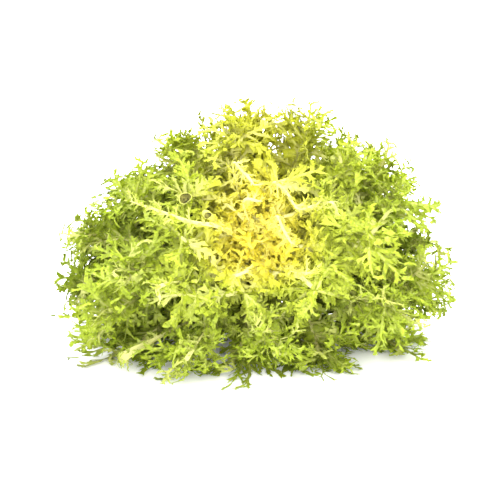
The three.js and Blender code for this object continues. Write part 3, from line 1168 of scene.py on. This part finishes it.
@dataclass(frozen=True)
class Stem:
    """The stem: a dome that carries the leaves, ringed by their scars, then a tail with a flat cut."""

    shape: HeadShape
    radius: float = STEM_RADIUS
    cut_radius: float = 14 * MM
    tail: float = 34 * MM
    edge: float = 1.5 * MM
    hollow: float = 0.8 * MM
    scar_depth: float = 0.5 * MM
    scar_height: float = 6 * MM
    scar_reach: float = 14 * MM
    scar_rows: int = 9
    scars_around: int = 7
    groove_depth: float = 0.35 * MM
    groove_fade: float = 6 * MM
    grooves: int = 11
    least_radius: float = 0.2 * MM
    smallest_share: float = 0.04
    long_rows: int = 24
    edge_rows: int = 8
    plain_edge_rows: int = 3
    cut_rows: int = 14
    columns: int = 96

    def profile(self) -> tuple[Array, Array, Array]:
        """The radius and height of each row, from the dome's top to the middle of the cut.

        The dome is a quarter round. The tail's radius falls evenly to the cut, whose edge is a quarter
        round too, and the cut is a little hollow: it dips by the square of one less the share outwards.

        Returns:
            Radii, heights along the head's axis, and how much each row belongs to the cut.
        """
        dome = np.linspace(self.smallest_share, FULL_TURN / 4, self.long_rows)
        tail = np.linspace(0, 1, self.long_rows)[1:]
        turn = np.linspace(0, FULL_TURN / 4, self.edge_rows)[1:]
        inward = np.linspace(1, self.smallest_share, self.cut_rows)[1:]
        rim = self.cut_radius - self.edge
        radius = np.concatenate([
            self.radius * np.sin(dome),
            mix(self.radius, self.cut_radius, tail),
            rim + self.edge * np.cos(turn),
            rim * inward,
        ])
        height = np.concatenate([
            self.radius * np.cos(dome),
            -(self.tail - self.edge) * tail,
            -(self.tail - self.edge) - self.edge * np.sin(turn),
            -self.tail + self.hollow * (1 - inward) ** 2,
        ])
        cut = (np.arange(len(radius)) >= len(dome) + len(tail) + self.plain_edge_rows).astype(float)
        return radius, height, cut

    def build(self, material: bpy.types.Material) -> bpy.types.Object:
        """Builds the stem: each row is a circle whose radius dips at the leaf scars and the tail's grooves.

        A scar's dip is the depth times the square of a sine that runs along and around the dome, and a
        groove's the depth times a sine around the tail, which fades towards the dome and the cut.

        Args:
            material: The stem's finish.

        Returns:
            The stem, riding on the head and standing for its CAD node.
        """
        radius, height, cut = self.profile()
        around = np.arange(self.columns) / self.columns * FULL_TURN
        turn, rise = np.meshgrid(around, height)
        wave = np.sin(self.scars_around * turn / 2 + rise / self.radius * self.scar_rows / 2)
        scars = self.scar_depth * wave**2 * smooth(1 - np.abs(rise - self.scar_height) / self.scar_reach)
        grooves = self.groove_depth * (0.5 + 0.5 * np.sin(self.grooves * turn))
        grooves = grooves * smooth(-rise / self.groove_fade) * smooth((rise + self.tail) / self.groove_fade)
        spread = np.maximum(radius[:, None] - (scars + grooves) * (1 - cut[:, None]), self.least_radius)
        local = np.stack([spread * np.cos(turn), spread * np.sin(turn), rise], axis=-1).reshape(-1, 3)
        ends = np.array([[0, 0, self.radius], [0, 0, height[-1]]])
        points = self.shape.crown + np.vstack([local, ends]) @ self.shape.basis.T
        column = np.arange(self.columns)
        following = (column + 1) % self.columns
        rows = np.arange(len(radius) - 1)[:, None] * self.columns
        upper, upper_next = (rows + column).ravel(), (rows + following).ravel()
        lower, lower_next = upper + self.columns, upper_next + self.columns
        first, last = np.full(self.columns, len(local)), np.full(self.columns, len(local) + 1)
        rim = (len(radius) - 1) * self.columns
        triangles = np.concatenate([
            np.stack([upper, lower, lower_next], axis=1),
            np.stack([upper, lower_next, upper_next], axis=1),
            np.stack([first, column, following], axis=1),
            np.stack([last, rim + following, rim + column], axis=1),
        ])
        stem = make_object("stem", points, triangles, material)
        write_attribute(stem, "cut", np.append(np.repeat(cut, self.columns), [0.0, 1.0]))
        dress(stem, "stem")
        return stem


# ---------------------------------------------------------------------------------------------------------
# Objects
# ---------------------------------------------------------------------------------------------------------


SHARP_FROM = math.radians(60)


def make_object(
    name: str, points: Array, triangles: Indices, material: bpy.types.Material
) -> bpy.types.Object:
    """Puts whole arrays of points and triangles into a mesh object at the origin, smooth but for its edges.

    Args:
        name: The piece's name, which ".look" is added to.
        points: Places in the world, one a row.
        triangles: Three numbers of points a row, counted so that they face outwards.
        material: What covers it.

    Returns:
        The object, in the scene.
    """
    mesh = bpy.data.meshes.new(name)
    mesh.vertices.add(len(points))
    mesh.vertices.foreach_set("co", points.astype(np.float32).ravel())
    mesh.loops.add(triangles.size)
    mesh.loops.foreach_set("vertex_index", triangles.astype(np.int32).ravel())
    mesh.polygons.add(len(triangles))
    mesh.polygons.foreach_set("loop_start", np.arange(0, triangles.size, 3, dtype=np.int32))
    mesh.polygons.foreach_set("use_smooth", np.ones(len(triangles), bool))
    mesh.update(calc_edges=True)
    mesh.set_sharp_from_angle(angle=SHARP_FROM)
    mesh.materials.append(material)
    piece = bpy.data.objects.new(f"{name}.look", mesh)
    bpy.context.scene.collection.objects.link(piece)
    return piece


def write_attribute(piece: bpy.types.Object, name: str, values: Array) -> None:
    """Writes one number for each point of a piece, for its material to read."""
    attribute = piece.data.attributes.new(name, "FLOAT", "POINT")
    attribute.data.foreach_set("value", values.astype(np.float32))


def dress(piece: bpy.types.Object, node: str) -> None:
    """Lets a piece ride on the head and stand for its CAD node.

    Args:
        piece: The piece.
        node: The CAD node.
    """
    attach(piece, "root")
    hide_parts(node)


# ---------------------------------------------------------------------------------------------------------
# Finishes
# ---------------------------------------------------------------------------------------------------------

Colour = tuple[float, float, float]
Socket = bpy.types.NodeSocket
MIX_FACTOR, MIX_FIRST, MIX_SECOND, MIX_RESULT = 0, 6, 7, 2


class Nodes:
    """A short way to build a material's node tree."""

    def __init__(self, name: str) -> None:
        """Starts a material with an empty tree.

        Args:
            name: The material's name.
        """
        self.material = bpy.data.materials.new(name)
        self.material.use_nodes = True
        self.tree = self.material.node_tree
        self.tree.nodes.clear()

    def add(
        self, kind: str, inputs: dict[str | int, object] | None = None, **settings: object
    ) -> bpy.types.Node:
        """Adds a node, with its settings, and with its inputs set or linked.

        Args:
            kind: The node's type name without its ShaderNode prefix.
            inputs: Values or output sockets, by input name or number.
            **settings: Properties of the node.

        Returns:
            The node.
        """
        node = self.tree.nodes.new(f"ShaderNode{kind}")
        for key, value in settings.items():
            setattr(node, key, value)
        for key, value in (inputs or {}).items():
            if isinstance(value, Socket):
                self.tree.links.new(value, node.inputs[key])
            else:
                node.inputs[key].default_value = value
        return node

    def place(self) -> Socket:
        """Each point's own place on the object."""
        return self.add("TexCoord").outputs["Object"]

    def attribute(self, name: str) -> Socket:
        """A number that the mesh keeps for each point."""
        return self.add("Attribute", attribute_name=name).outputs["Fac"]

    def noise(self, place: Socket, scale: float, detail: float) -> Socket:
        """Soft noise of a scale, with finer noise on it for each step of detail."""
        return self.add("TexNoise", {"Vector": place, "Scale": scale, "Detail": detail}).outputs[0]

    def blend(self, first: Socket | Colour, second: Socket | Colour, factor: Socket) -> Socket:
        """Mixes two colours by a factor.

        Args:
            first: The colour where the factor is 0.
            second: The colour where it is 1.
            factor: The share of the second.

        Returns:
            The mixed colour.
        """
        first, second = (value if isinstance(value, Socket) else (*value, 1.0) for value in (first, second))
        inputs = {MIX_FACTOR: factor, MIX_FIRST: first, MIX_SECOND: second}
        return self.add("Mix", inputs, data_type="RGBA").outputs[MIX_RESULT]

    def span(self, value: Socket, low: float, high: float, most: float = 1.0) -> Socket:
        """Turns a value from low to high into one from 0 to the most, held within them."""
        inputs = {"Value": value, "From Min": low, "From Max": high, "To Min": 0.0, "To Max": most}
        return self.add("MapRange", inputs).outputs[0]

    def bump(self, height: Socket, strength: float, distance: float) -> Socket:
        """A normal that leans as if the surface were raised by the height."""
        return self.add("Bump", {"Height": height, "Strength": strength, "Distance": distance}).outputs[0]

    def finish(self, shader: bpy.types.Node) -> bpy.types.Material:
        """Joins the shader to the material's surface.

        Args:
            shader: The last node.

        Returns:
            The finished material.
        """
        output = self.add("OutputMaterial")
        self.tree.links.new(shader.outputs[0], output.inputs["Surface"])
        return self.material


@dataclass(frozen=True)
class LeafFinish:
    """A thin, slightly waxy leaf that lets light through.

    It is mottled from its blade's colour to a shade, turns lime and then yellow where it is young and,
    partly as painted light, over the top of the head, takes a painted shade from a dark colour in its fine
    crinkles where it is green, is paler towards its rib and in flecks, and dried on a cut.
    A noise has a scale and a detail. A span has the value at which a colour starts, the value at which it
    is full, and, where it never is, how much of it shows at most.
    """

    name: str
    blade: Colour
    shade: Colour
    rib: Colour = (0.76, 0.73, 0.30)
    lime: Colour = (0.52, 0.58, 0.036)
    yellow: Colour = (0.73, 0.64, 0.045)
    # Painted shade: the dark colour laid by a fine noise in the crinkles of the green, where shade falls.
    hollow: Colour = (0.10, 0.15, 0.006)
    dried: tuple[Colour, Colour] = ((0.24, 0.22, 0.04), (0.06, 0.055, 0.01))
    patch_noise: Pair = (55.0, 3.0)
    fleck_noise: Pair = (420.0, 2.0)
    crinkle_noise: Pair = (380.0, 4.0)
    vein_noise: Pair = (900.0, 2.0)
    shade_span: Pair = (0.42, 0.68)
    lime_span: Pair = (0.06, 0.66)
    crinkle_shade_span: tuple[float, float, float] = (0.46, 0.6, 0.36)
    yellow_span: Pair = (0.4, 0.9)
    rib_span: Pair = (0.0, 0.9)
    fleck_span: tuple[float, float, float] = (0.6, 0.8, 0.35)
    dried_span: Pair = (0.4, 0.6)
    cut_span: Pair = (0.5, 1.0)
    roughness: float = 0.42
    ior: float = 1.42
    shine: float = 0.3
    vein_strength: float = 0.5
    vein_height: float = 1 * MM
    through: float = 0.52

    def colour(self, nodes: Nodes, place: Socket) -> Socket:
        """The leaf's colour at each place.

        Args:
            nodes: The material's nodes.
            place: Each point's place.

        Returns:
            The colour's socket.
        """
        pale, yellow = nodes.attribute("pale"), nodes.attribute("yellow")
        patches = nodes.noise(place, *self.patch_noise)
        flecks = nodes.noise(place, *self.fleck_noise)
        crinkles = nodes.noise(place, *self.crinkle_noise)
        blade = nodes.blend(self.blade, self.shade, nodes.span(patches, *self.shade_span))
        # Lime where young, and partly as painted light over the top of the head.
        blade = nodes.blend(blade, self.lime, nodes.span(yellow, *self.lime_span))
        # Painted shade: darkens the green in its fine crinkles by a noise.
        blade = nodes.blend(blade, self.hollow, nodes.span(crinkles, *self.crinkle_shade_span))
        blade = nodes.blend(blade, self.yellow, nodes.span(yellow, *self.yellow_span))
        colour = nodes.blend(blade, self.rib, nodes.span(pale, *self.rib_span))
        colour = nodes.blend(colour, self.rib, nodes.span(flecks, *self.fleck_span))
        dried = nodes.blend(*self.dried, nodes.span(crinkles, *self.dried_span))
        return nodes.blend(colour, dried, nodes.span(nodes.attribute("cut"), *self.cut_span))

    def make(self) -> bpy.types.Material:
        """Makes the leaf's material: a waxy surface mixed with one that light passes through.

        Returns:
            The material.
        """
        nodes = Nodes(self.name)
        place = nodes.place()
        colour = self.colour(nodes, place)
        bump = nodes.bump(nodes.noise(place, *self.vein_noise), self.vein_strength, self.vein_height)
        surface = nodes.add("BsdfPrincipled", {
            "Base Color": colour,
            "Roughness": self.roughness,
            "IOR": self.ior,
            "Specular IOR Level": self.shine,
            "Normal": bump,
        })
        through = nodes.add("BsdfTranslucent", {"Color": colour, "Normal": bump})
        parts = {0: self.through, 1: surface.outputs[0], 2: through.outputs[0]}
        return nodes.finish(nodes.add("MixShader", parts))


@dataclass(frozen=True)
class StemFinish:
    """The stem's firm pale flesh: mottled with streaks, and browned in blotches on its cut.

    A noise has a scale and a detail. A span has the value at which a colour starts, the value at which it
    is full, and, where it never is, how much of it shows at most.
    """

    flesh: Colour = (0.80, 0.80, 0.50)
    streak: Colour = (0.62, 0.66, 0.30)
    browned: Colour = (0.42, 0.27, 0.11)
    ring: Colour = (0.66, 0.52, 0.27)
    streak_noise: Pair = (160.0, 4.0)
    blotch_noise: Pair = (70.0, 5.0)
    grain_noise: Pair = (700.0, 3.0)
    streak_span: tuple[float, float, float] = (0.45, 0.65, 0.8)
    blotch_span: Pair = (0.42, 0.6)
    cut_span: Pair = (0.2, 1.0)
    roughness: float = 0.5
    grain_strength: float = 0.4
    grain_height: float = 0.8 * MM

    def make(self) -> bpy.types.Material:
        """Makes the stem's material.

        Returns:
            The material.
        """
        nodes = Nodes("stem_flesh")
        place = nodes.place()
        streaks = nodes.noise(place, *self.streak_noise)
        blotches = nodes.noise(place, *self.blotch_noise)
        colour = nodes.blend(self.flesh, self.streak, nodes.span(streaks, *self.streak_span))
        face = nodes.blend(self.ring, self.browned, nodes.span(blotches, *self.blotch_span))
        colour = nodes.blend(colour, face, nodes.span(nodes.attribute("cut"), *self.cut_span))
        bump = nodes.bump(nodes.noise(place, *self.grain_noise), self.grain_strength, self.grain_height)
        look = {"Base Color": colour, "Roughness": self.roughness, "Normal": bump}
        return nodes.finish(nodes.add("BsdfPrincipled", look))


@dataclass(frozen=True)
class PaperFinish:
    """The sweep's matt white paper."""

    white: Colour = (0.95, 0.95, 0.95)
    roughness: float = 0.8

    def make(self) -> bpy.types.Material:
        """Makes the paper's material.

        Returns:
            The material.
        """
        nodes = Nodes("white_sweep")
        look = {"Base Color": (*self.white, 1), "Roughness": self.roughness}
        return nodes.finish(nodes.add("BsdfPrincipled", look))


# ---------------------------------------------------------------------------------------------------------
# The studio
# ---------------------------------------------------------------------------------------------------------


@dataclass(frozen=True)
class Lamp:
    """One square soft light: its place and size in metres, and its power in watts."""

    name: str
    place: Place
    size: float
    power: float

    def build(self, aim: Vector) -> None:
        """Makes the light, turned towards its aim.

        Args:
            aim: The place that it shines on.
        """
        lamp = bpy.data.lights.new(self.name, "AREA")
        lamp.size = self.size
        lamp.energy = self.power
        holder = bpy.data.objects.new(self.name, lamp)
        holder.location = self.place
        holder.rotation_euler = (aim - Vector(self.place)).to_track_quat("-Z", "Y").to_euler()
        bpy.context.scene.collection.objects.link(holder)


@dataclass(frozen=True)
class Sweep:
    """The floor, which curves up into a wall far behind, just under the lowest leaves."""

    front: float = -6.0
    curve_from: float = 3.0
    curve_radius: float = 1.0
    curve_rows: int = 24
    top: float = 6.0
    half_width: float = 8.0
    drop: float = 0.2 * MM

    def build(self, paper: bpy.types.Material) -> None:
        """Makes the sweep: level, a quarter round, then upright.

        Args:
            paper: What covers it.
        """
        turn = np.linspace(0, FULL_TURN / 4, self.curve_rows)
        back = self.curve_from + self.curve_radius
        along = np.concatenate([[self.front], self.curve_from + self.curve_radius * np.sin(turn), [back]])
        up = np.concatenate([[0.0], self.curve_radius * (1 - np.cos(turn)), [self.top]])
        x, y = np.meshgrid([-self.half_width, self.half_width], along)
        points = np.stack([x, y, np.repeat(up[:, None], 2, axis=1) - self.drop], axis=-1).reshape(-1, 3)
        row = np.arange(len(along) - 1) * 2
        triangles = np.concatenate([
            np.stack([row, row + 1, row + 3], axis=1),
            np.stack([row, row + 3, row + 2], axis=1),
        ])
        make_object("sweep", points, triangles, paper)


@dataclass(frozen=True)
class Studio:
    """A white sweep under soft light, with white air, and the camera that looks at the head's middle."""

    aim: Vector
    elevation: float = math.radians(18)
    distance: float = 0.93
    lens: float = 85.0
    nearest: float = 0.01
    air: float = 2.4
    lamps: tuple[Lamp, ...] = (
        Lamp("key_light", (-0.12, -1.3, 0.62), 0.9, 22.0),
        Lamp("fill_light", (1.1, -0.8, 0.9), 1.2, 5.0),
        Lamp("top_light", (0.1, 0.3, 1.5), 1.0, 62.0),
    )

    def build(self) -> None:
        """Makes the sweep, the lights, the air and the camera."""
        Sweep().build(PaperFinish().make())
        for lamp in self.lamps:
            lamp.build(self.aim)
        world = bpy.data.worlds.new("studio_air")
        world.use_nodes = True
        background = world.node_tree.nodes["Background"]
        background.inputs["Color"].default_value = (1, 1, 1, 1)
        background.inputs["Strength"].default_value = self.air
        bpy.context.scene.world = world
        self.camera()

    def camera(self) -> None:
        """The camera, in front of the head and a little above it."""
        lens = bpy.data.cameras.new("camera")
        lens.lens = self.lens
        lens.clip_start = self.nearest
        holder = bpy.data.objects.new("camera", lens)
        back = Vector((0, -math.cos(self.elevation), math.sin(self.elevation)))
        holder.location = self.aim + back * self.distance
        holder.rotation_euler = (-back).to_track_quat("-Z", "Y").to_euler()
        bpy.context.scene.collection.objects.link(holder)
        bpy.context.scene.camera = holder


# ---------------------------------------------------------------------------------------------------------
# The head
# ---------------------------------------------------------------------------------------------------------

STALKS = (
    Stalk("heart_leaf_09", ((-15, -45, 158), (-7, -50, 155), (1, -58, 147)), (0.8, 1.3)),
    Stalk("heart_leaf_01", ((-7, -64, 135), (6, -66, 137)), (0.8, 1.2)),
    Stalk("heart_leaf_06", ((14, -56, 147), (25, -62, 142), (33, -68, 132), (48, -66, 135)), (1.3, 0.8)),
    Stalk("heart_leaf_01", ((16, -72, 127), (22, -77, 119), (28, -81, 109)), (0.8, 1.1)),
    Stalk(
        "heart_leaf_04", ((-25, -75, 120), (-45, -69, 122), (-66, -58, 126), (-97, -30, 128)), (1.7, 0.8)
    ),
    Stalk("heart_leaf_02", ((-13, -89, 88), (-3, -89, 91)), (0.8, 1.2)),
    Stalk("heart_leaf_05", ((36, -89, 89), (45, -87, 90)), (0.8, 1.2)),
    Stalk("heart_leaf_11", ((55, -62, 135), (63, -66, 127)), (0.9, 1.2)),
    Stalk("middle_leaf_01", ((-50, -42, 131), (-50, -61, 138)), (2.6, 4.3), StalkEnd.CUT),
    Stalk("heart_leaf_04", ((-33, -58, 124), (-33, -72, 128)), (2.0, 2.7), StalkEnd.CUT),
    Stalk("heart_leaf_15", ((-66, -86, 79), (-68, -87, 67)), (1.0, 1.8)),
    Stalk("middle_leaf_04", ((-101, -65, 84), (-97, -71, 77)), (1.0, 1.8)),
    Stalk("middle_leaf_07", ((-90, -74, 22), (-98, -66, 13), (-102, -60, 9)), (2.2, 5.0)),
    Stalk("middle_leaf_07", ((-46, -92, 28), (-50, -90, 21)), (1.0, 2.0)),
)
BRANCHES = Branching(
    number=8, first=0.12, last=0.97, pitch=(0.5, 1.0), length_share=(0.24, 0.46),
    slimming=0.82, tilt=0.5, curl=1.0, twist=0.8,
)
TEETH = Branching(
    number=3, first=0.2, last=0.9, pitch=(0.5, 0.9), length_share=(0.35, 0.6),
    slimming=0.95, tilt=0.5, curl=0.8, twist=0.6,
)
HEART_LOBES = LobeRow(
    spacing=1.8 * MM, half_width=1.5 * MM, reach=3.4, curl=0.6, first=0.45, crowding=1.0,
    pitch=(math.radians(8), math.radians(12)), roll=math.radians(88), roll_spread=0.25,
)
MIDDLE_LOBES = LobeRow(spacing=2.35 * MM, half_width=1.15 * MM, reach=2.6, curl=1.2, first=0.4)
OUTER_LOBES = LobeRow(spacing=2.4 * MM, half_width=1.3 * MM, reach=2.6, curl=1.2, first=0.4)
BLADES = {Whorl.HEART: Blade(14 * MM), Whorl.MIDDLE: Blade(12 * MM), Whorl.OUTER: Blade(12 * MM)}
LOBES = {Whorl.HEART: HEART_LOBES, Whorl.MIDDLE: MIDDLE_LOBES, Whorl.OUTER: OUTER_LOBES}
FINISHES = {
    Whorl.HEART: LeafFinish("heart_leaf_skin", (0.44, 0.52, 0.03), (0.34, 0.42, 0.02), through=0.4),
    Whorl.MIDDLE: LeafFinish("middle_leaf_skin", (0.43, 0.53, 0.028), (0.28, 0.37, 0.015)),
    Whorl.OUTER: LeafFinish("outer_leaf_skin", (0.36, 0.46, 0.022), (0.19, 0.27, 0.011)),
}
AIM_FROM_CROWN = (-5 * MM, -32 * MM, 15 * MM)


def crown_from_stem() -> Array:
    """The crown: the stem's dome is a half ball round it, so its sides, front and top give its place."""
    low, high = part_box("stem")
    return np.array([(low.x + high.x) / 2, low.y + STEM_RADIUS, high.z - STEM_RADIUS])


def main() -> None:
    """Builds the stem, the leaves from the heart outwards and the studio, and notes the sizes."""
    logging.basicConfig(level=logging.INFO, format="%(message)s")
    shape = HeadShape(crown=crown_from_stem())
    LOG.info("crown at %s mm", np.round(shape.crown / MM, 2))
    blanching_and_top_light = BlanchingAndTopLight(shape)
    builders = {
        whorl: LeafBuilder(blanching_and_top_light, whorl, BLADES[whorl], LOBES[whorl], BRANCHES, TEETH, STALKS)
        for whorl in Whorl
    }
    materials = {whorl: finish.make() for whorl, finish in FINISHES.items()}
    pieces = [Stem(shape).build(StemFinish().make())]
    for seat in Spiral(shape).seats():
        pieces.append(builders[seat.whorl].build(seat, materials[seat.whorl]))
    for piece in pieces:
        LOG.info("%s: %d triangles", piece.name, len(piece.data.polygons))
    LOG.info("%d triangles in all", sum(len(piece.data.polygons) for piece in pieces))
    Studio(Vector(shape.crown) + Vector(AIM_FROM_CROWN)).build()
    bpy.context.scene.view_settings.view_transform = "Standard"


if __name__ == "__main__":
    main()
